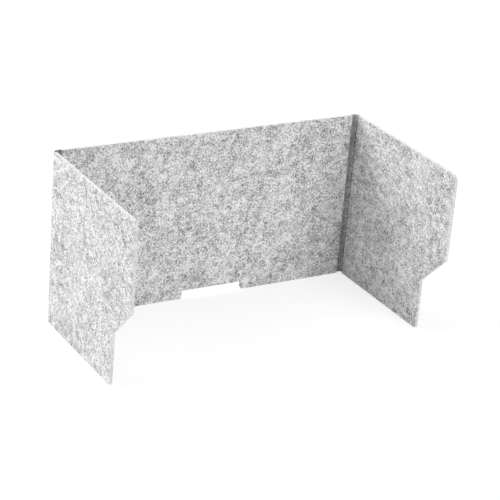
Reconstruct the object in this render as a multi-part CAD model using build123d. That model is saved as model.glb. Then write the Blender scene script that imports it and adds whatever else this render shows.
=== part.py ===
from build123d import *
import math
import os

# A desk screen of pressed felt: a back board and two wings that stand square to it.
# Millimetres and degrees. +X is to the right of a person at the desk, +Y is away from that person, +Z is up.
# The origin is on the desk, under the middle of the standing screen.

# The whole screen
screen_width = 960.0
screen_height = 500.0
board_thickness = 9.0
edge_ease_radius = 0.8

# A wing: reaches are counted forwards from the back board's inner face
wing_reach = 500.0
foot_reach = 400.0
foot_height = 150.0
# Lean of the cut that runs from the foot up to the front edge, from the upright
cut_lean = 45.0
top_corner_radius = 25.0
brow_corner_radius = 14.0
throat_corner_radius = 20.0
foot_corner_radius = 8.0

# Cable notch in the bottom edge of the back board, a little to the right of its middle
notch_width = 193.0
notch_height = 24.0
notch_offset = 31.0
notch_corner_radius = 6.0

# Folds: at each corner the board is routed away from inside, down to a skin at its outer face
skin_thickness = 2.0
skin_run = 8.0
bend_radius = 15.0
fold_clearance = 0.3

# Places that follow from these sizes, for the right-hand side
outer_x = screen_width / 2
outer_y = (wing_reach + board_thickness) / 2
inner_y = outer_y - board_thickness
bend_centre_x = outer_x - bend_radius
bend_centre_y = outer_y - bend_radius
back_end_x = bend_centre_x - skin_run
wing_rear_y = bend_centre_y - fold_clearance
wing_front_y = inner_y - wing_reach
foot_front_y = inner_y - foot_reach
brow_height = foot_height + (wing_reach - foot_reach) / math.tan(math.radians(cut_lean))


def outline(points, rounded):
    """Face inside a closed outline, with its named corners rounded."""
    face = make_face(Polyline(points, close=True))
    for corner, radius in rounded:
        face = fillet(face.vertices().sort_by_distance(corner)[0], radius)
    return face


def ease_edges(board, across, fold_end):
    """Soften the rims of both faces of a board, but not at its fold ends, where the skin goes on."""
    rims = board.edges().filter_by(Plane(origin=board.center(), z_dir=across))
    free_rims = [rim for rim in rims if not fold_end(rim.center())]
    return fillet(free_rims, edge_ease_radius)


def back_panel():
    """Back board between the two folds, standing on a foot at each side of the cable notch."""
    notch_left = notch_offset - notch_width / 2
    notch_right = notch_offset + notch_width / 2
    points = [
        (-back_end_x, 0),
        (notch_left, 0),
        (notch_left, notch_height),
        (notch_right, notch_height),
        (notch_right, 0),
        (back_end_x, 0),
        (back_end_x, screen_height),
        (-back_end_x, screen_height),
    ]
    rounded = [(point, notch_corner_radius) for point in points[1:5]]
    face = Plane.XZ.offset(-inner_y) * outline(points, rounded)
    board = extrude(face, -board_thickness)
    return ease_edges(board, (0, 1, 0), lambda place: abs(place.X) > back_end_x - edge_ease_radius)


def right_wing():
    """Right-hand wing: a foot, a cut that leans forward above it, and a taller front edge."""
    foot_corner = (foot_front_y, 0)
    throat = (foot_front_y, foot_height)
    brow = (wing_front_y, brow_height)
    top_corner = (wing_front_y, screen_height)
    points = [(wing_rear_y, 0), foot_corner, throat, brow, top_corner, (wing_rear_y, screen_height)]
    rounded = [
        (foot_corner, foot_corner_radius),
        (throat, throat_corner_radius),
        (brow, brow_corner_radius),
        (top_corner, top_corner_radius),
    ]
    face = Plane.YZ.offset(outer_x - board_thickness) * outline(points, rounded)
    board = extrude(face, board_thickness)
    return ease_edges(board, (1, 0, 0), lambda place: place.Y > wing_rear_y - edge_ease_radius)


def right_fold():
    """Skin of felt that runs on from the back board's outer face, round the corner to the wing."""
    centre = (bend_centre_x, bend_centre_y)
    inner_radius = bend_radius - skin_thickness
    back_outer = (back_end_x, outer_y)
    back_inner = (back_end_x, outer_y - skin_thickness)
    wing_outer = (outer_x, bend_centre_y)
    wing_inner = (outer_x - skin_thickness, bend_centre_y)
    section = make_face(
        [
            Line(back_inner, back_outer),
            Line(back_outer, (bend_centre_x, outer_y)),
            CenterArc(centre, bend_radius, 0, 90),
            Line(wing_outer, wing_inner),
            CenterArc(centre, inner_radius, 0, 90),
            Line((bend_centre_x, outer_y - skin_thickness), back_inner),
        ]
    )
    return extrude(section, screen_height)


def left_twin(piece):
    """The same piece at the other side of the screen."""
    return mirror(piece, about=Plane.YZ)


wing = right_wing()
fold = right_fold()
pieces = {
    "back_panel": back_panel(),
    "right_wing": wing,
    "left_wing": left_twin(wing),
    "right_fold": fold,
    "left_fold": left_twin(fold),
}

os.makedirs("parts", exist_ok=True)
for name, piece in pieces.items():
    export_step(piece, os.path.join("parts", name + ".step"))
    print(name, round(piece.volume), "cubic mm")
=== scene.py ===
import math
import random

import bmesh
import bpy
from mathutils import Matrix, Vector, noise
from mathutils.geometry import delaunay_2d_cdt
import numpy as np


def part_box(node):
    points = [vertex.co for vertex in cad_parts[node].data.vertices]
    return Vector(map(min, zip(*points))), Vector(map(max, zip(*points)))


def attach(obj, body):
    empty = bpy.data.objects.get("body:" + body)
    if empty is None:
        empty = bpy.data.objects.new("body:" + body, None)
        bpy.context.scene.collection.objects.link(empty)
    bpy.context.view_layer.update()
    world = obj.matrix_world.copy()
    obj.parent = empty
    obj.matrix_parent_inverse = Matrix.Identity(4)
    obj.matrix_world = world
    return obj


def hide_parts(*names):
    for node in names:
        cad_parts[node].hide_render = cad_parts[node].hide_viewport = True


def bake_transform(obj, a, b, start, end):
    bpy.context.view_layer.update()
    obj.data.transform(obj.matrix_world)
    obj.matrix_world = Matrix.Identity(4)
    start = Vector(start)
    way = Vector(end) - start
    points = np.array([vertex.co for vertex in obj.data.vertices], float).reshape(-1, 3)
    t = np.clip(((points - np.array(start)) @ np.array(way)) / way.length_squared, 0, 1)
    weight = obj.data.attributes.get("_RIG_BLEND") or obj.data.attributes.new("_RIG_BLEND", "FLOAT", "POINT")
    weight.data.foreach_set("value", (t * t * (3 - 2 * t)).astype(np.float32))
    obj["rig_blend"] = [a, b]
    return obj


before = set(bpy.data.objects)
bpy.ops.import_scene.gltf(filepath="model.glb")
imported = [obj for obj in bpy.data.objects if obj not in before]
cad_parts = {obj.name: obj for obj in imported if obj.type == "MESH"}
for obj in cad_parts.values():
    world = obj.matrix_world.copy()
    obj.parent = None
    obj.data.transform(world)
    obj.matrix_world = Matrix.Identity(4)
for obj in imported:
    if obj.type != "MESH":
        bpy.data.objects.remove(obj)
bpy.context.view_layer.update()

# Everything is in metres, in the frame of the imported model.
MM = 0.001

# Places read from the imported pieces
back_low, back_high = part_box("back_panel")
wing_low, wing_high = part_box("right_wing")
outer_x = wing_high.x
inner_x = wing_low.x
outer_y = back_high.y
inner_y = back_low.y
back_end_x = back_high.x
wing_rear_y = wing_high.y
wing_front_y = wing_low.y
screen_height = back_high.z
board_thickness = outer_y - inner_y

# Sizes of the outlines
foot_reach = 400 * MM
foot_height = 150 * MM
top_corner_radius = 25 * MM
brow_corner_radius = 14 * MM
throat_corner_radius = 20 * MM
foot_corner_radius = 8 * MM
notch_width = 193 * MM
notch_height = 24 * MM
notch_offset = 31 * MM
notch_corner_radius = 6 * MM

# Sizes of the folds
skin_thickness = 2 * MM
bend_radius = 15 * MM
seat_depth = 1.5 * MM
seat_sink = 0.4 * MM

# Where a wing starts on the flat sheet that the whole screen is cut from, counted from the back's middle
bend_start_x = outer_x - bend_radius
wing_start = bend_start_x + bend_radius * math.pi / 2 + (outer_y - bend_radius - wing_rear_y)
wing_rear_reach = inner_y - wing_rear_y

# How far the bending of a fold reaches past its skin, into the back board and into the wing.
# The right wing turns about an axis further in, so its skin needs a longer run to stay smooth in line.
right_bend_reach = (2 * MM, 6 * MM)
left_bend_reach = (0.0, 0.0)

# Where the felt skin is creased in each bend, on the same sheet
crease_turn = math.radians(40)
crease_place = bend_start_x + bend_radius * crease_turn

# Fineness of the modelled felt
edge_ease = 1.0 * MM
felt_spacing = 4 * MM
arc_spacing = 1.6 * MM
least_arc_steps = 3
ease_steps = 3
rim_support = 1.6 * MM
rim_depth_shares = (0.3, 0.5, 0.7)
jitter_share = 0.25
rim_clear_share = 0.5
weld_distance = 1e-7
sharp_angle = math.radians(50)
skin_run_steps = 4
skin_bend_steps = 14
skin_ease_share = 0.3
back_seed = 11
right_wing_seed = 21
left_wing_seed = 31

# Two directions agree when their cosine passes the first value,
# and are in line when their sine is under the second.
same_direction = 0.99
in_line = 0.05

# Loose fibres that lie on the felt, for one square metre of it
fibres_on_felt = 6000
fibre_length = 13 * MM
fibre_radius = 0.1 * MM
fibre_lift = 0.2 * MM
inner_lift_share = 0.4
free_share = 0.04
fibre_curl = 5 * MM
fibre_points = 6
fibre_sides = 3
fibre_length_shares = (0.45, 1.4)
fibre_wander = 9 * MM
back_fibre_seed = 5
right_fibre_seed = 6
left_fibre_seed = 7
# Share of the fibres' range of shades, and the shade there from 0, black, to 1, white
fibre_shades = ((0.0, 0.10), (0.30, 0.32), (0.55, 0.82), (1.0, 0.95))
dark_fibre_roughness = 0.75
pale_fibre_roughness = 0.5
fibre_specular = 0.3

# Marbling of the felt, in shades from 0, black, to 1, white
base_shade = 0.655
shade_limits = (0.12, 0.96)
cloud_length = 100 * MM
cloud_amount = 0.10
mottle_length = 19 * MM
mottle_amount = 0.56
mottle_detail = 4.0
mottle_twist = 0.6
mottle_roughness = 0.85
long_curl_length = 12 * MM
short_curl_length = 7.5 * MM
curl_waves = 1.2
curl_amount = 0.45
cloud_reach = 0.25
curl_reach = 0.5
# Strands: length and width of a line, how much it curls, where its noise is read, length of its breaks
dark_strands = (6 * MM, 0.030, 0.8, 1.7, 8 * MM)
darker_strands = (9 * MM, 0.016, 1.2, 5.1, 11 * MM)
white_strands = (5.5 * MM, 0.034, 0.9, 8.3, 7 * MM)
dark_amount = 0.17
darker_amount = 0.20
white_amount = 0.18
strand_detail = 1.5
strand_breaks = (0.46, 0.56)
breaks_place = 3
# Where each pattern is read in its noise, so that no two run together
cloud_place = 0.4
mottle_place = 2.2
long_curl_place = 9.4
short_curl_place = 4.4
streak_place = 7.7
recess_streak_place = 3.9
fuzz_place = 6.6
gloss_place = 0.0
# The same place along, up and through the felt, as shares of it
place_shares = (1.0, 0.7, 1.3)
noise_roughness = 0.55
# Most of the noise lies between these values
noise_range = (0.3, 0.7)

# Cut edges are streaked along the board's layers and painted paler, a painted highlight of their rims, and
# less so where the router went
streak_length = 14 * MM
streak_layer = 0.9 * MM
streak_twist = 0.2
streak_and_highlight_shades = (0.70, 0.92)
cut_share = 0.65
routed_cut_share = 0.15

# The routed recess of a fold is painted darker, as painted shade of the recess, in upright streaks; the
# painted shade is lighter along the paler crease
recess_streak_width = 2.4 * MM
recess_streak_height = 34 * MM
painted_recess_shades = (0.42, 0.68)
crease_core = 0.9 * MM
crease_edge = 2.8 * MM
crease_gain = 0.34

# Surface of the felt
fuzz_length = 1.2 * MM
fuzz_twist = 0.5
dark_height_share = 0.6
bump_strength = 0.5
bump_height = 0.35 * MM
gloss_length = 5 * MM
felt_roughness = (0.86, 1.0)
felt_specular = 0.25
felt_sheen = 0.12
felt_sheen_roughness = 0.6

# The studio
floor_reach = 30.0
floor_shade = 0.9
floor_roughness = 0.9
floor_glow = 1.11
floor_glow_share = 0.65
world_strength = 0.08
lamp_distance = 8.0
lamp_size = 4.8
# Name, bearing from the front towards the right and height in degrees, power in watts
studio_lamps = (
    ("left_low_lamp", -110, 15, 134),
    ("left_rear_lamp", -125, 30, 274),
    ("rear_left_lamp", -150, 45, 105),
    ("rear_top_lamp", 180, 70, 190),
    ("top_lamp", 0, 75, 100),
    ("right_lamp", 110, 30, 150),
    ("front_lamp", 20, 35, 212),
    ("front_low_lamp", 8, 15, 100),
    ("front_left_lamp", -40, 15, 34),
)

# The camera: place, turn about x, y and z in degrees, lens and sensor width in millimetres
camera_place = (-2.36893, -3.94196, 2.26751)
camera_turn = (66.2092, -4.3233, -29.1231)
camera_lens = 133.15
camera_sensor = 36.0

# Relief of the pressed surface: (height, length of a ripple)
face_relief = ((0.07 * MM, 7 * MM), (0.10 * MM, 34 * MM))
rim_relief = ((0.16 * MM, 3.2 * MM), (0.12 * MM, 12 * MM))


def relief(place, layers):
    """Height of the felt's uneven surface at a place."""
    return sum(height * noise.noise(place / ripple) for height, ripple in layers)


def rounded_outline(corners):
    """Closed outline through named corners, each with a radius, as a list of (point, edge normals) places.

    A place lists the outward normals of the two runs that meet there, so that rims can be drawn in evenly.
    """
    count = len(corners)
    places = []
    for i, (corner, radius) in enumerate(corners):
        corner = Vector(corner)
        before = (corner - Vector(corners[i - 1][0])).normalized()
        after = (Vector(corners[(i + 1) % count][0]) - corner).normalized()
        normal_before = Vector((before.y, -before.x))
        normal_after = Vector((after.y, -after.x))
        if radius == 0:
            places.append((corner, normal_before, normal_after))
            continue
        turn = before.angle_signed(after) * -1
        side = math.copysign(1, turn)
        cut_back = radius * math.tan(abs(turn) / 2)
        start = corner - before * cut_back
        centre = start - normal_before * radius * side
        steps = max(least_arc_steps, round(radius * abs(turn) / arc_spacing))
        for k in range(steps + 1):
            angle = math.atan2(normal_before.y, normal_before.x) + turn * k / steps
            normal = Vector((math.cos(angle), math.sin(angle)))
            places.append((centre + normal * radius * side, normal, normal))
    return divided(places)


def divided(places):
    """The same outline with its long straight runs cut to the felt's spacing."""
    result = []
    for (point, before, after), (goal, _, _) in zip(places, places[1:] + places[:1]):
        result.append((point, before, after))
        run = goal - point
        pieces = round(run.length / felt_spacing)
        if pieces > 1:
            normal = Vector((run.y, -run.x)).normalized()
            result += [(point + run * k / pieces, normal, normal) for k in range(1, pieces)]
    return result


def drawn_in(before, after, fold_normal):
    """Direction that moves both runs at a place inwards by one, leaving a run at the fold where it is."""
    at_fold = [fold_normal and normal.dot(fold_normal) > same_direction for normal in (before, after)]
    wanted = [0 if held else 1 for held in at_fold]
    cross = before.x * after.y - before.y * after.x
    if abs(cross) < in_line:
        return (before + after) / 2 * min(wanted)
    return Vector(
        (
            (wanted[0] * after.y - wanted[1] * before.y) / cross,
            (before.x * wanted[1] - after.x * wanted[0]) / cross,
        )
    )


def rim_profile():
    """(inset, depth) of the rings that go round a board's edge, from one face to the other."""
    arc = [math.pi / 2 * k / ease_steps for k in range(ease_steps + 1)]
    first = [(edge_ease + rim_support, 0.0)]
    first += [(edge_ease * (1 - math.sin(a)), edge_ease * (1 - math.cos(a))) for a in arc]
    middle = [(0.0, board_thickness * share) for share in rim_depth_shares]
    last = [(inset, board_thickness - depth) for inset, depth in reversed(first)]
    return first + middle + last


def felt_points(outline, spacing, margin, seed):
    """Loose points inside an outline, clear of its rim."""
    draw = random.Random(seed)
    lows = [min(p[k] for p in outline) for k in (0, 1)]
    highs = [max(p[k] for p in outline) for k in (0, 1)]
    across = int((highs[0] - lows[0]) / spacing)
    up = int((highs[1] - lows[1]) / spacing)
    jitter = spacing * jitter_share
    found = []
    for row in range(1, up):
        v = lows[1] + row * spacing
        crossings = row_crossings(outline, v)
        for column in range(1, across):
            u = lows[0] + column * spacing + draw.uniform(-jitter, jitter)
            place = Vector((u, v + draw.uniform(-jitter, jitter)))
            inside = sum(1 for c in crossings if c > u) % 2 == 1
            if inside and all(abs(c - u) > margin for c in crossings):
                found.append(place)
    return found


def row_crossings(outline, v):
    """Where a level line at height v cuts an outline."""
    crossings = []
    for a, b in zip(outline, outline[1:] + outline[:1]):
        if (a.y > v) != (b.y > v):
            crossings.append(a.x + (v - a.y) / (b.y - a.y) * (b.x - a.x))
    return crossings


def felt_mesh():
    """Empty mesh whose points remember their place on the flat sheet and how the surface there was made."""
    mesh = bmesh.new()
    mesh.verts.layers.float_vector.new("felt_place")
    mesh.verts.layers.float.new("cut_edge")
    mesh.verts.layers.float.new("routed")
    return mesh


def felt_point(mesh, place, sheet_place, cut=0.0, routed=0.0):
    """Point of a felt piece. cut is 1 where a blade left the surface, routed where the folds' router did."""
    vert = mesh.verts.new(place)
    vert[mesh.verts.layers.float_vector["felt_place"]] = sheet_place
    vert[mesh.verts.layers.float["cut_edge"]] = cut
    vert[mesh.verts.layers.float["routed"]] = routed
    return vert


def felt_board(name, corners, to_space, to_sheet, fold_normals, seed):
    """Board of pressed felt with eased rims and an uneven surface.

    corners are in the board's own plane, and to_space(u, v, depth) puts a place on it, with depth counted
    from the inner face. to_sheet(u) is the place along the flat sheet. fold_normals are the outward normals
    of the runs where the skin of a fold goes on.
    """
    places = rounded_outline(corners)
    profile = rim_profile()
    middle_depth = board_thickness / 2
    mesh = felt_mesh()
    rings = []
    for inset, depth in profile:
        outer_side = depth > middle_depth
        ring = []
        for point, before, after in places:
            meeting = [n for n in fold_normals if max(before.dot(n), after.dot(n)) > same_direction]
            fold = meeting[0] if meeting else None
            inwards = drawn_in(before, after, fold if outer_side else None)
            at = point - inwards * inset
            cut = 1.0 if 0 < depth < board_thickness else 0.0
            unfolded = at + inwards * min(depth, board_thickness - depth)
            sheet_place = (to_sheet(unfolded.x), unfolded.y, depth)
            # A cut end at a fold lies in the routed recess and gets its painted shade
            routed = cut if fold else 0.0
            ring.append(felt_point(mesh, to_space(at.x, at.y, depth), sheet_place, cut, routed))
        rings.append(ring)
    count = len(places)
    for ring, following in zip(rings, rings[1:]):
        for i in range(count):
            k = (i + 1) % count
            mesh.faces.new((ring[i], following[i], following[k], ring[k]))
    for ring, depth, side in ((rings[0], 0.0, 1), (rings[-1], board_thickness, 2)):
        fill_face(mesh, ring, depth, to_space, to_sheet, seed + side)
    return finished(name, mesh)


def fill_face(mesh, ring, depth, to_space, to_sheet, seed):
    """Close one face of a board with small triangles that can carry the relief."""
    flat = [flat_place(vert.co, to_space) for vert in ring]
    loose = felt_points(flat, felt_spacing, felt_spacing * rim_clear_share, seed)
    count = len(flat)
    rim = [(i, (i + 1) % count) for i in range(count)]
    points, _, triangles, _, _, _ = delaunay_2d_cdt(flat + loose, rim, [], 1, weld_distance)
    verts = list(ring)
    for p in points[count:]:
        verts.append(felt_point(mesh, to_space(p.x, p.y, depth), (to_sheet(p.x), p.y, depth)))
    for triangle in triangles:
        corners = [verts[i] for i in triangle]
        if mesh.faces.get(corners) is None:
            mesh.faces.new(corners)


def flat_place(place, to_space):
    """A place's coordinates in its board's own plane."""
    origin = to_space(0, 0, 0)
    along = to_space(1, 0, 0) - origin
    up = to_space(0, 1, 0) - origin
    return Vector(((place - origin).dot(along), (place - origin).dot(up)))


def roughen(mesh):
    """Raise and sink the surface a little, more on the cut edge than on the pressed faces."""
    cut_edge = mesh.verts.layers.float["cut_edge"]
    mesh.normal_update()
    moved = []
    for vert in mesh.verts:
        layers = rim_relief if vert[cut_edge] > 0.5 else face_relief
        moved.append(vert.co + vert.normal * relief(vert.co, layers))
    for vert, place in zip(mesh.verts, moved):
        vert.co = place
        vert.co.z = max(place.z, 0.0)


def finished(name, mesh):
    """Object with an uneven surface and smooth shading, sharp only at the folds' square ends."""
    bmesh.ops.recalc_face_normals(mesh, faces=mesh.faces)
    roughen(mesh)
    mesh.normal_update()
    for face in mesh.faces:
        face.smooth = True
    for edge in mesh.edges:
        if len(edge.link_faces) == 2 and edge.calc_face_angle() > sharp_angle:
            edge.smooth = False
    data = bpy.data.meshes.new(name)
    mesh.to_mesh(data)
    mesh.free()
    piece = bpy.data.objects.new(name, data)
    bpy.context.scene.collection.objects.link(piece)
    return piece


def wing_corners():
    """Corners of a wing seen from its outer face, as (reach forward, height) and a radius."""
    front = inner_y - wing_front_y
    rear = inner_y - wing_rear_y
    brow_height = foot_height + front - foot_reach
    return [
        ((rear, 0), 0),
        ((foot_reach, 0), foot_corner_radius),
        ((foot_reach, foot_height), throat_corner_radius),
        ((front, brow_height), brow_corner_radius),
        ((front, screen_height), top_corner_radius),
        ((rear, screen_height), 0),
    ]


def back_corners():
    """Corners of the back board seen from the desk, as (x, z) and a radius."""
    notch_left = notch_offset - notch_width / 2
    notch_right = notch_offset + notch_width / 2
    return [
        ((-back_end_x, 0), 0),
        ((notch_left, 0), notch_corner_radius),
        ((notch_left, notch_height), notch_corner_radius),
        ((notch_right, notch_height), notch_corner_radius),
        ((notch_right, 0), notch_corner_radius),
        ((back_end_x, 0), 0),
        ((back_end_x, screen_height), 0),
        ((-back_end_x, screen_height), 0),
    ]


def back_space(u, v, depth):
    return Vector((u, inner_y + depth, v))


def right_space(u, v, depth):
    return Vector((inner_x + depth, inner_y - u, v))


def left_space(u, v, depth):
    return Vector((-inner_x - depth, inner_y - u, v))


def back_sheet(u):
    return u


def right_sheet(u):
    return wing_start + u - wing_rear_reach


def left_sheet(u):
    return -right_sheet(u)


def fold_stations():
    """(outer place, inner place, place along the sheet) in plan, from the back board to the wing."""
    centre = Vector((bend_start_x, outer_y - bend_radius))
    inner_radius = bend_radius - skin_thickness
    inner_skin_y = outer_y - skin_thickness
    inner_skin_x = outer_x - skin_thickness
    stations = [
        (
            Vector((back_end_x - seat_depth, outer_y - seat_sink)),
            Vector((back_end_x - seat_depth, inner_skin_y + seat_sink)),
            back_end_x - seat_depth,
        )
    ]
    run = centre.x - back_end_x
    for k in range(skin_run_steps):
        x = back_end_x + run * k / skin_run_steps
        stations.append((Vector((x, outer_y)), Vector((x, inner_skin_y)), x))
    for k in range(skin_bend_steps + 1):
        turned = math.pi / 2 * k / skin_bend_steps
        ray = Vector((math.sin(turned), math.cos(turned)))
        along = bend_start_x + bend_radius * turned
        stations.append((centre + ray * bend_radius, centre + ray * inner_radius, along))
    stations.append((Vector((outer_x, wing_rear_y)), Vector((inner_skin_x, wing_rear_y)), wing_start))
    stations.append(
        (
            Vector((outer_x - seat_sink, wing_rear_y - seat_depth)),
            Vector((inner_skin_x + seat_sink, wing_rear_y - seat_depth)),
            wing_start + seat_depth,
        )
    )
    return stations


def fold_skin(name, side):
    """Skin of felt that is left on the outer face at a corner, bent round it."""
    stations = fold_stations()
    rows = round(screen_height / felt_spacing)
    ease = skin_thickness * skin_ease_share
    heights = [(0.0, ease), (ease, 0.0)]
    heights += [(screen_height * k / rows, 0.0) for k in range(1, rows)]
    heights += [(screen_height - ease, 0.0), (screen_height, ease)]
    mesh = felt_mesh()
    depths = (board_thickness, board_thickness - skin_thickness)
    grid = []
    for z, inset in heights:
        row = []
        for outer, inner, along in stations:
            across = (inner - outer).normalized() * inset
            pair = []
            for p, depth, inside in zip((outer + across, inner - across), depths, (0.0, 1.0)):
                # The skin's inner face is marked routed and gets the recess's painted shade; its eased top
                # and bottom rows are marked cut only
                made = (1.0, 0.0) if inset else (inside, inside)
                pair.append(felt_point(mesh, (side * p.x, p.y, z), (side * along, z, depth), *made))
            row.append(pair)
        grid.append(row)
    last = len(stations) - 1
    for low, high in zip(grid, grid[1:]):
        for i in range(last):
            mesh.faces.new((low[i][0], low[i + 1][0], high[i + 1][0], high[i][0]))
            mesh.faces.new((low[i][1], high[i][1], high[i + 1][1], low[i + 1][1]))
        mesh.faces.new((low[0][0], high[0][0], high[0][1], low[0][1]))
        mesh.faces.new((low[last][0], low[last][1], high[last][1], high[last][0]))
    for row in (grid[0], grid[-1]):
        for i in range(last):
            mesh.faces.new((row[i][0], row[i][1], row[i + 1][1], row[i + 1][0]))
    return finished(name, mesh)


def new_material(name):
    material = bpy.data.materials.new(name)
    material.use_nodes = True
    nodes = material.node_tree.nodes
    nodes.clear()
    output = nodes.new("ShaderNodeOutputMaterial")
    shader = nodes.new("ShaderNodeBsdfPrincipled")
    material.node_tree.links.new(shader.outputs["BSDF"], output.inputs["Surface"])
    return material, nodes, material.node_tree.links, shader


def felt_material():
    """Light grey needle felt of white, grey and dark fibres that curl every way; fold recesses get painted
    shade.
    """
    material, nodes, links, shader = new_material("marbled_felt")

    def remembered(name, output):
        attribute = nodes.new("ShaderNodeAttribute")
        attribute.attribute_name = name
        return attribute.outputs[output]

    def placed(lengths, offset):
        """The sheet's coordinates counted in lengths along, up and through the felt."""
        mapping = nodes.new("ShaderNodeMapping")
        mapping.vector_type = "TEXTURE"
        mapping.inputs["Location"].default_value = [offset * share for share in place_shares]
        mapping.inputs["Scale"].default_value = lengths
        links.new(sheet_place, mapping.inputs["Vector"])
        return mapping.outputs["Vector"]

    def ripple(length, offset, detail=2.0, twist=0.0, up=None, through=None, roughness=noise_roughness):
        """Noise whose ripples are about one length long, from 0 to 1."""
        cloud = nodes.new("ShaderNodeTexNoise")
        cloud.inputs["Scale"].default_value = 1.0
        cloud.inputs["Detail"].default_value = detail
        cloud.inputs["Roughness"].default_value = roughness
        cloud.inputs["Distortion"].default_value = twist
        links.new(placed((length, up or length, through or length), offset), cloud.inputs["Vector"])
        return cloud.outputs["Fac"]

    def curls(length, waves, offset):
        """Short strokes that run every way, light beside dark, from 0 to 1."""
        texture = nodes.new("ShaderNodeTexGabor")
        texture.gabor_type = "2D"
        texture.inputs["Scale"].default_value = 1.0
        texture.inputs["Frequency"].default_value = waves
        texture.inputs["Anisotropy"].default_value = 0.0
        links.new(placed((length, length, length), offset), texture.inputs["Vector"])
        return texture.outputs["Value"]

    def spread(value, low, high, to_low, to_high, kind="SMOOTHSTEP"):
        scale = nodes.new("ShaderNodeMapRange")
        scale.interpolation_type = kind
        links.new(value, scale.inputs["Value"])
        scale.inputs["From Min"].default_value = low
        scale.inputs["From Max"].default_value = high
        scale.inputs["To Min"].default_value = to_low
        scale.inputs["To Max"].default_value = to_high
        return scale.outputs["Result"]

    def feed(socket, value):
        if isinstance(value, float):
            socket.default_value = value
        else:
            links.new(value, socket)

    def combined(kind, first, second):
        sum_node = nodes.new("ShaderNodeMath")
        sum_node.operation = kind
        for socket, value in zip(sum_node.inputs, (first, second)):
            feed(socket, value)
        return sum_node.outputs["Value"]

    def mixed(first, second, share):
        """The first value where share is 0, the second where it is 1."""
        mix = nodes.new("ShaderNodeMix")
        mix.data_type = "FLOAT"
        floats = [socket for socket in mix.inputs if socket.enabled]
        for socket, value in zip(floats, (share, first, second)):
            feed(socket, value)
        return mix.outputs[0]

    def strands(length, width, twist, offset, patch):
        """Fine curling lines where noise passes its middle value, broken into strands by patches."""
        centred = combined("SUBTRACT", ripple(length, offset, strand_detail, twist), 0.5)
        line = spread(combined("ABSOLUTE", centred, 0.0), 0.0, width, 1.0, 0.0)
        breaks = spread(ripple(patch, offset + breaks_place, 1.0), *strand_breaks, 0.0, 1.0)
        return combined("MULTIPLY", line, breaks)

    sheet_place = remembered("felt_place", "Vector")
    cut = remembered("cut_edge", "Fac")
    routed = remembered("routed", "Fac")
    dark = strands(*dark_strands)
    darker = strands(*darker_strands)
    white = strands(*white_strands)
    mottle = ripple(mottle_length, mottle_place, mottle_detail, mottle_twist, roughness=mottle_roughness)
    layers = (
        (ripple(cloud_length, cloud_place), cloud_reach, cloud_amount),
        (mottle, cloud_reach, mottle_amount),
        (curls(long_curl_length, curl_waves, long_curl_place), curl_reach, curl_amount),
        (curls(short_curl_length, curl_waves, short_curl_place), curl_reach, curl_amount),
    )
    shade = base_shade
    for value, reach, amount in layers:
        shade = combined("ADD", spread(value, 0.5 - reach, 0.5 + reach, -amount, amount, "LINEAR"), shade)
    shade = combined("SUBTRACT", shade, combined("MULTIPLY", dark, dark_amount))
    shade = combined("SUBTRACT", shade, combined("MULTIPLY", darker, darker_amount))
    shade = combined("ADD", shade, combined("MULTIPLY", white, white_amount))
    # Cut edges: streaks along the layers, painted paler as a painted highlight of the rims
    layered = ripple(streak_length, streak_place, twist=streak_twist, through=streak_layer)
    streaks_and_highlight = spread(layered, *noise_range, *streak_and_highlight_shades)
    streaked = spread(routed, 0.0, 1.0, cut_share, routed_cut_share, "LINEAR")
    shade = mixed(shade, streaks_and_highlight, combined("MULTIPLY", cut, streaked))
    # Painted shade of the folds' routed recess: darker in upright streaks, lighter along the crease, only
    # where routed is 1
    upright = ripple(recess_streak_width, recess_streak_place, up=recess_streak_height)
    painted_recess_shade = spread(upright, *noise_range, *painted_recess_shades, "LINEAR")
    along_sheet = nodes.new("ShaderNodeSeparateXYZ")
    links.new(sheet_place, along_sheet.inputs["Vector"])
    from_middle = combined("ABSOLUTE", along_sheet.outputs["X"], 0.0)
    from_crease = combined("ABSOLUTE", combined("SUBTRACT", from_middle, crease_place), 0.0)
    crease = spread(from_crease, crease_core, crease_edge, crease_gain, 0.0)
    shade = combined("MULTIPLY", shade, mixed(1.0, combined("ADD", painted_recess_shade, crease), routed))
    shade = spread(shade, *shade_limits, *shade_limits, "LINEAR")

    colour = nodes.new("ShaderNodeCombineColor")
    for channel in colour.inputs:
        links.new(shade, channel)
    links.new(colour.outputs["Color"], shader.inputs["Base Color"])

    height = combined("ADD", white, combined("MULTIPLY", dark, dark_height_share))
    height = combined("ADD", height, ripple(fuzz_length, fuzz_place, twist=fuzz_twist))
    bump = nodes.new("ShaderNodeBump")
    bump.inputs["Strength"].default_value = bump_strength
    bump.inputs["Distance"].default_value = bump_height
    links.new(height, bump.inputs["Height"])
    links.new(bump.outputs["Normal"], shader.inputs["Normal"])
    roughness = spread(ripple(gloss_length, gloss_place), *noise_range, *felt_roughness)
    links.new(roughness, shader.inputs["Roughness"])
    shader.inputs["Specular IOR Level"].default_value = felt_specular
    shader.inputs["Sheen Weight"].default_value = felt_sheen
    shader.inputs["Sheen Roughness"].default_value = felt_sheen_roughness
    return material


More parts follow.
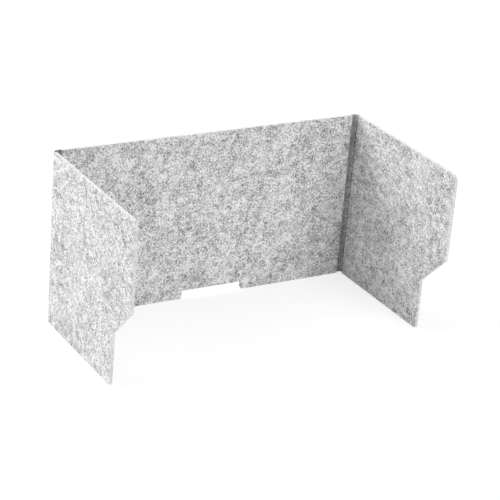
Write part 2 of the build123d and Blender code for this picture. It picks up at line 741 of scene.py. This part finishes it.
def fibre_material():
    """Single polyester fibres, from white to nearly black."""
    material, nodes, links, shader = new_material("loose_fibre")
    shade = nodes.new("ShaderNodeAttribute")
    shade.attribute_name = "fibre_shade"
    colours = nodes.new("ShaderNodeValToRGB")
    ramp = colours.color_ramp
    ramp.interpolation = "LINEAR"
    stops = [ramp.elements[0], ramp.elements[1]]
    for stop, (_, grey) in zip(stops, (fibre_shades[0], fibre_shades[-1])):
        stop.color = (grey, grey, grey, 1)
    for place, grey in fibre_shades[1:-1]:
        ramp.elements.new(place).color = (grey, grey, grey, 1)
    links.new(shade.outputs["Fac"], colours.inputs["Fac"])
    links.new(colours.outputs["Color"], shader.inputs["Base Color"])
    rough = nodes.new("ShaderNodeMapRange")
    rough.inputs["To Min"].default_value = dark_fibre_roughness
    rough.inputs["To Max"].default_value = pale_fibre_roughness
    links.new(shade.outputs["Fac"], rough.inputs["Value"])
    links.new(rough.outputs["Result"], shader.inputs["Roughness"])
    shader.inputs["Specular IOR Level"].default_value = fibre_specular
    return material


def fibre_tree():
    """Node tree that strews short curling fibres over a felt piece, each in a low arc along its surface."""
    tree = bpy.data.node_groups.new("loose_fibres", "GeometryNodeTree")
    sockets = {}
    for name, kind in (
        ("Felt", "NodeSocketGeometry"),
        ("Density", "NodeSocketFloat"),
        ("Length", "NodeSocketFloat"),
        ("Radius", "NodeSocketFloat"),
        ("Lift", "NodeSocketFloat"),
        ("Inner Lift", "NodeSocketFloat"),
        ("Free Share", "NodeSocketFloat"),
        ("Curl", "NodeSocketFloat"),
        ("Points", "NodeSocketInt"),
        ("Sides", "NodeSocketInt"),
        ("Seed", "NodeSocketInt"),
        ("Material", "NodeSocketMaterial"),
    ):
        sockets[name] = tree.interface.new_socket(name, in_out="INPUT", socket_type=kind).identifier
    tree.interface.new_socket("Fibres", in_out="OUTPUT", socket_type="NodeSocketGeometry")
    given = tree.nodes.new("NodeGroupInput").outputs
    result = tree.nodes.new("NodeGroupOutput")

    def node(kind, inputs=None, **settings):
        made = tree.nodes.new(kind)
        for name, value in settings.items():
            setattr(made, name, value)
        for name, value in (inputs or {}).items():
            if isinstance(value, bpy.types.NodeSocket):
                tree.links.new(value, made.inputs[name])
            else:
                made.inputs[name].default_value = value
        return made

    def chance(low, high, shift, kind="FLOAT"):
        """Number drawn for each fibre, from the seed moved on by a shift."""
        seed = node("ShaderNodeMath", {0: given["Seed"], 1: shift}, operation="ADD")
        draw = node("FunctionNodeRandomValue", {"Seed": seed.outputs[0]}, data_type=kind)
        numbers = [socket for socket in draw.inputs if socket.name in ("Min", "Max") and socket.enabled]
        numbers[0].default_value = low
        numbers[1].default_value = high
        return next(socket for socket in draw.outputs if socket.enabled)

    def attribute_of(reader):
        """The output that carries a named attribute's value."""
        return next(socket for socket in reader.outputs if socket.enabled and socket.name == "Attribute")

    strewn = node(
        "GeometryNodeDistributePointsOnFaces",
        {"Mesh": given["Felt"], "Density": given["Density"], "Seed": given["Seed"]},
    )
    shaded = node(
        "GeometryNodeStoreNamedAttribute",
        {"Geometry": strewn.outputs["Points"], "Name": "fibre_shade", "Value": chance(0.0, 1.0, 1)},
        data_type="FLOAT",
        domain="POINT",
    )
    upright = node(
        "GeometryNodeStoreNamedAttribute",
        {"Geometry": shaded.outputs["Geometry"], "Name": "felt_normal", "Value": strewn.outputs["Normal"]},
        data_type="FLOAT_VECTOR",
        domain="POINT",
    )
    spin = node("ShaderNodeCombineXYZ", {"Z": chance(0.0, 2 * math.pi, 2)})
    turned = node(
        "FunctionNodeRotateRotation",
        {"Rotation": strewn.outputs["Rotation"], "Rotate By": spin.outputs["Vector"]},
        rotation_space="LOCAL",
    )
    length_share = chance(*fibre_length_shares, 3)
    length = node("ShaderNodeMath", {0: given["Length"], 1: length_share}, operation="MULTIPLY")
    straight = node("GeometryNodeCurvePrimitiveLine", {"Start": (-0.5, 0, 0), "End": (0.5, 0, 0)})
    divided_line = node(
        "GeometryNodeResampleCurve", {"Curve": straight.outputs["Curve"], "Count": given["Points"]}
    )
    laid = node(
        "GeometryNodeInstanceOnPoints",
        {
            "Points": upright.outputs["Geometry"],
            "Instance": divided_line.outputs["Curve"],
            "Rotation": turned.outputs["Rotation"],
            "Scale": length.outputs[0],
        },
    )
    lines = node("GeometryNodeRealizeInstances", {"Geometry": laid.outputs["Instances"]})
    normal = node("GeometryNodeInputNamedAttribute", {"Name": "felt_normal"}, data_type="FLOAT_VECTOR")
    normal_out = attribute_of(normal)
    wander = node("ShaderNodeTexNoise", {"Scale": 1 / fibre_wander, "Detail": 1.0})
    centred = node(
        "ShaderNodeVectorMath", {0: wander.outputs["Color"], 1: (0.5, 0.5, 0.5)}, operation="SUBTRACT"
    )
    across = node(
        "ShaderNodeVectorMath", {0: centred.outputs["Vector"], 1: normal_out}, operation="CROSS_PRODUCT"
    )
    curl = node("ShaderNodeVectorMath", {0: across.outputs["Vector"]}, operation="SCALE")
    tree.links.new(given["Curl"], curl.inputs["Scale"])
    along = node("GeometryNodeSplineParameter")
    half_turn = node("ShaderNodeMath", {0: along.outputs["Factor"], 1: math.pi}, operation="MULTIPLY")
    arc = node("ShaderNodeMath", {0: half_turn.outputs[0]}, operation="SINE")
    sheet_place = node("GeometryNodeInputNamedAttribute", {"Name": "felt_place"}, data_type="FLOAT_VECTOR")
    place_out = attribute_of(sheet_place)
    depth = node("ShaderNodeSeparateXYZ", {0: place_out})
    height = node(
        "ShaderNodeMapRange",
        {
            "Value": depth.outputs["Z"],
            "From Max": edge_ease,
            "To Min": given["Inner Lift"],
            "To Max": given["Lift"],
        },
    )
    rise = node("ShaderNodeMath", {0: arc.outputs[0], 1: height.outputs["Result"]}, operation="MULTIPLY")
    sink = node("ShaderNodeMath", {0: rise.outputs[0], 1: given["Radius"]}, operation="SUBTRACT")
    lift = node("ShaderNodeVectorMath", {0: normal_out}, operation="SCALE")
    tree.links.new(sink.outputs[0], lift.inputs["Scale"])
    curled = node(
        "GeometryNodeSetPosition", {"Geometry": lines.outputs["Geometry"], "Offset": curl.outputs["Vector"]}
    )
    free_place = node("GeometryNodeInputPosition").outputs["Position"]
    on_felt = node("GeometryNodeProximity", {0: given["Felt"]}, target_element="FACES")
    pressed = node("ShaderNodeMix", data_type="VECTOR")
    vectors = [socket for socket in pressed.inputs if socket.enabled and socket.type == "VECTOR"]
    tree.links.new(on_felt.outputs["Position"], vectors[0])
    tree.links.new(free_place, vectors[1])
    tree.links.new(given["Free Share"], pressed.inputs["Factor"])
    pressed_place = next(socket for socket in pressed.outputs if socket.enabled)
    bent = node(
        "GeometryNodeSetPosition",
        {
            "Geometry": curled.outputs["Geometry"],
            "Position": pressed_place,
            "Offset": lift.outputs["Vector"],
        },
    )
    where = node("ShaderNodeSeparateXYZ", {0: node("GeometryNodeInputPosition").outputs["Position"]})
    above = node("ShaderNodeMath", {0: where.outputs["Z"], 1: given["Radius"]}, operation="MAXIMUM")
    kept = node(
        "ShaderNodeCombineXYZ", {"X": where.outputs["X"], "Y": where.outputs["Y"], "Z": above.outputs[0]}
    )
    on_desk = node(
        "GeometryNodeSetPosition",
        {"Geometry": bent.outputs["Geometry"], "Position": kept.outputs["Vector"]},
    )
    section = node(
        "GeometryNodeCurvePrimitiveCircle", {"Resolution": given["Sides"], "Radius": given["Radius"]}
    )
    tubes = node(
        "GeometryNodeCurveToMesh",
        {
            "Curve": on_desk.outputs["Geometry"],
            "Profile Curve": section.outputs["Curve"],
            "Fill Caps": True,
        },
    )
    real = node("GeometryNodeRealizeInstances", {"Geometry": tubes.outputs["Mesh"]})
    coloured = node(
        "GeometryNodeSetMaterial", {"Geometry": real.outputs["Geometry"], "Material": given["Material"]}
    )
    tree.links.new(coloured.outputs["Geometry"], result.inputs["Fibres"])
    return tree, sockets


def loose_fibres(name, board, tree, sockets, material, seed):
    """Loose fibres over a board, as one plain mesh."""
    strewn = bpy.data.objects.new(name, board.data.copy())
    bpy.context.scene.collection.objects.link(strewn)
    strew = strewn.modifiers.new("loose_fibres", "NODES")
    strew.node_group = tree
    for socket, value in (
        ("Density", float(fibres_on_felt)),
        ("Length", fibre_length),
        ("Radius", fibre_radius),
        ("Lift", fibre_lift),
        ("Inner Lift", fibre_lift * inner_lift_share),
        ("Free Share", free_share),
        ("Curl", fibre_curl),
        ("Points", fibre_points),
        ("Sides", fibre_sides),
        ("Seed", seed),
        ("Material", material),
    ):
        strew[sockets[socket]] = value
    evaluated = strewn.evaluated_get(bpy.context.evaluated_depsgraph_get())
    mesh = bpy.data.meshes.new_from_object(evaluated)
    strewn.modifiers.clear()
    strewn.data = mesh
    return strewn


def dressed(piece, material):
    piece.data.materials.append(material)
    return piece


felt = felt_material()

# Sides of an outline where a fold's skin goes on: both ends of the back, and the rear end of a wing
back_folds = [Vector((-1, 0)), Vector((1, 0))]
wing_folds = [Vector((-1, 0))]
back_board = felt_board("back_felt_board", back_corners(), back_space, back_sheet, back_folds, back_seed)
right_board = felt_board(
    "right_felt_wing", wing_corners(), right_space, right_sheet, wing_folds, right_wing_seed
)
left_board = felt_board(
    "left_felt_wing", wing_corners(), left_space, left_sheet, wing_folds, left_wing_seed
)
for board in (back_board, right_board, left_board):
    dressed(board, felt)
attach(back_board, "back")
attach(right_board, "right_wing")
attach(left_board, "left_wing")
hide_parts("back_panel")
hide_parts("right_wing")
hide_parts("left_wing")

for side, wing, node, (into_back, into_wing) in (
    (1, "right_wing", "right_fold", right_bend_reach),
    (-1, "left_wing", "left_fold", left_bend_reach),
):
    skin = dressed(fold_skin(node + "_skin", side), felt)
    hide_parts(node)
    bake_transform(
        skin,
        "back",
        wing,
        start=(side * (back_end_x - into_back), outer_y, 0),
        end=(side * outer_x, wing_rear_y - into_wing, 0),
    )

fibre = fibre_material()
tree, sockets = fibre_tree()
for board, body, seed in (
    (back_board, "back", back_fibre_seed),
    (right_board, "right_wing", right_fibre_seed),
    (left_board, "left_wing", left_fibre_seed),
):
    fibres = loose_fibres(body + "_loose_fibres", board, tree, sockets, fibre, seed)
    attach(fibres, body)


def seen_by_camera(nodes, links):
    """1 for rays from the camera, straight or by gloss or glass, and 0 for rays that light the screen."""
    path = nodes.new("ShaderNodeLightPath")
    total = path.outputs["Is Camera Ray"]
    for name in ("Is Glossy Ray", "Is Transmission Ray"):
        add = nodes.new("ShaderNodeMath")
        add.operation = "MAXIMUM"
        links.new(total, add.inputs[0])
        links.new(path.outputs[name], add.inputs[1])
        total = add.outputs["Value"]
    return total


def floor():
    """Plain white floor that meets the camera as white and keeps the screen's shadow."""
    material, nodes, links, shader = new_material("white_floor")
    shader.inputs["Base Color"].default_value = (floor_shade, floor_shade, floor_shade, 1)
    shader.inputs["Roughness"].default_value = floor_roughness
    shader.inputs["Specular IOR Level"].default_value = 0.0
    glow = nodes.new("ShaderNodeEmission")
    glow.inputs["Strength"].default_value = floor_glow
    share = nodes.new("ShaderNodeMath")
    share.operation = "MULTIPLY"
    share.inputs[1].default_value = floor_glow_share
    links.new(seen_by_camera(nodes, links), share.inputs[0])
    mix = nodes.new("ShaderNodeMixShader")
    links.new(share.outputs["Value"], mix.inputs["Fac"])
    links.new(shader.outputs["BSDF"], mix.inputs[1])
    links.new(glow.outputs["Emission"], mix.inputs[2])
    links.new(mix.outputs["Shader"], nodes["Material Output"].inputs["Surface"])
    data = bpy.data.meshes.new("studio_floor")
    reach = floor_reach
    corners = [(-reach, -reach, 0), (reach, -reach, 0), (reach, reach, 0), (-reach, reach, 0)]
    data.from_pydata(corners, [], [(0, 1, 2, 3)])
    data.materials.append(material)
    ground = bpy.data.objects.new("studio_floor", data)
    bpy.context.scene.collection.objects.link(ground)


def area_lamp(name, azimuth, elevation, distance, size, power):
    """Square soft lamp that looks at the screen from a bearing and a height angle, in degrees."""
    data = bpy.data.lights.new(name, "AREA")
    data.shape = "SQUARE"
    data.size = size
    data.energy = power
    lamp = bpy.data.objects.new(name, data)
    bearing, rise = math.radians(azimuth), math.radians(elevation)
    towards = Vector(
        (math.sin(bearing) * math.cos(rise), -math.cos(bearing) * math.cos(rise), math.sin(rise))
    )
    middle = Vector((0, 0, screen_height / 2))
    lamp.location = middle + towards * distance
    lamp.rotation_euler = towards.to_track_quat("Z", "Y").to_euler()
    bpy.context.scene.collection.objects.link(lamp)


def studio():
    """Soft lamps all round, and a world that the camera sees as white."""
    for name, azimuth, elevation, power in studio_lamps:
        area_lamp(name, azimuth, elevation, lamp_distance, lamp_size, power)
    world = bpy.data.worlds.new("studio")
    bpy.context.scene.world = world
    world.use_nodes = True
    nodes, links = world.node_tree.nodes, world.node_tree.links
    background = nodes["Background"]
    background.inputs["Color"].default_value = (1, 1, 1, 1)
    strength = nodes.new("ShaderNodeMapRange")
    links.new(seen_by_camera(nodes, links), strength.inputs["Value"])
    strength.inputs["To Min"].default_value = world_strength
    strength.inputs["To Max"].default_value = 1.0
    links.new(strength.outputs["Result"], background.inputs["Strength"])


def camera():
    """Camera at the photograph's place, bearing and lens."""
    data = bpy.data.cameras.new("camera")
    data.sensor_width = camera_sensor
    data.lens = camera_lens
    eye = bpy.data.objects.new("camera", data)
    eye.location = camera_place
    eye.rotation_euler = [math.radians(angle) for angle in camera_turn]
    bpy.context.scene.collection.objects.link(eye)
    bpy.context.scene.camera = eye


floor()
studio()
camera()
bpy.context.scene.view_settings.view_transform = "Standard"
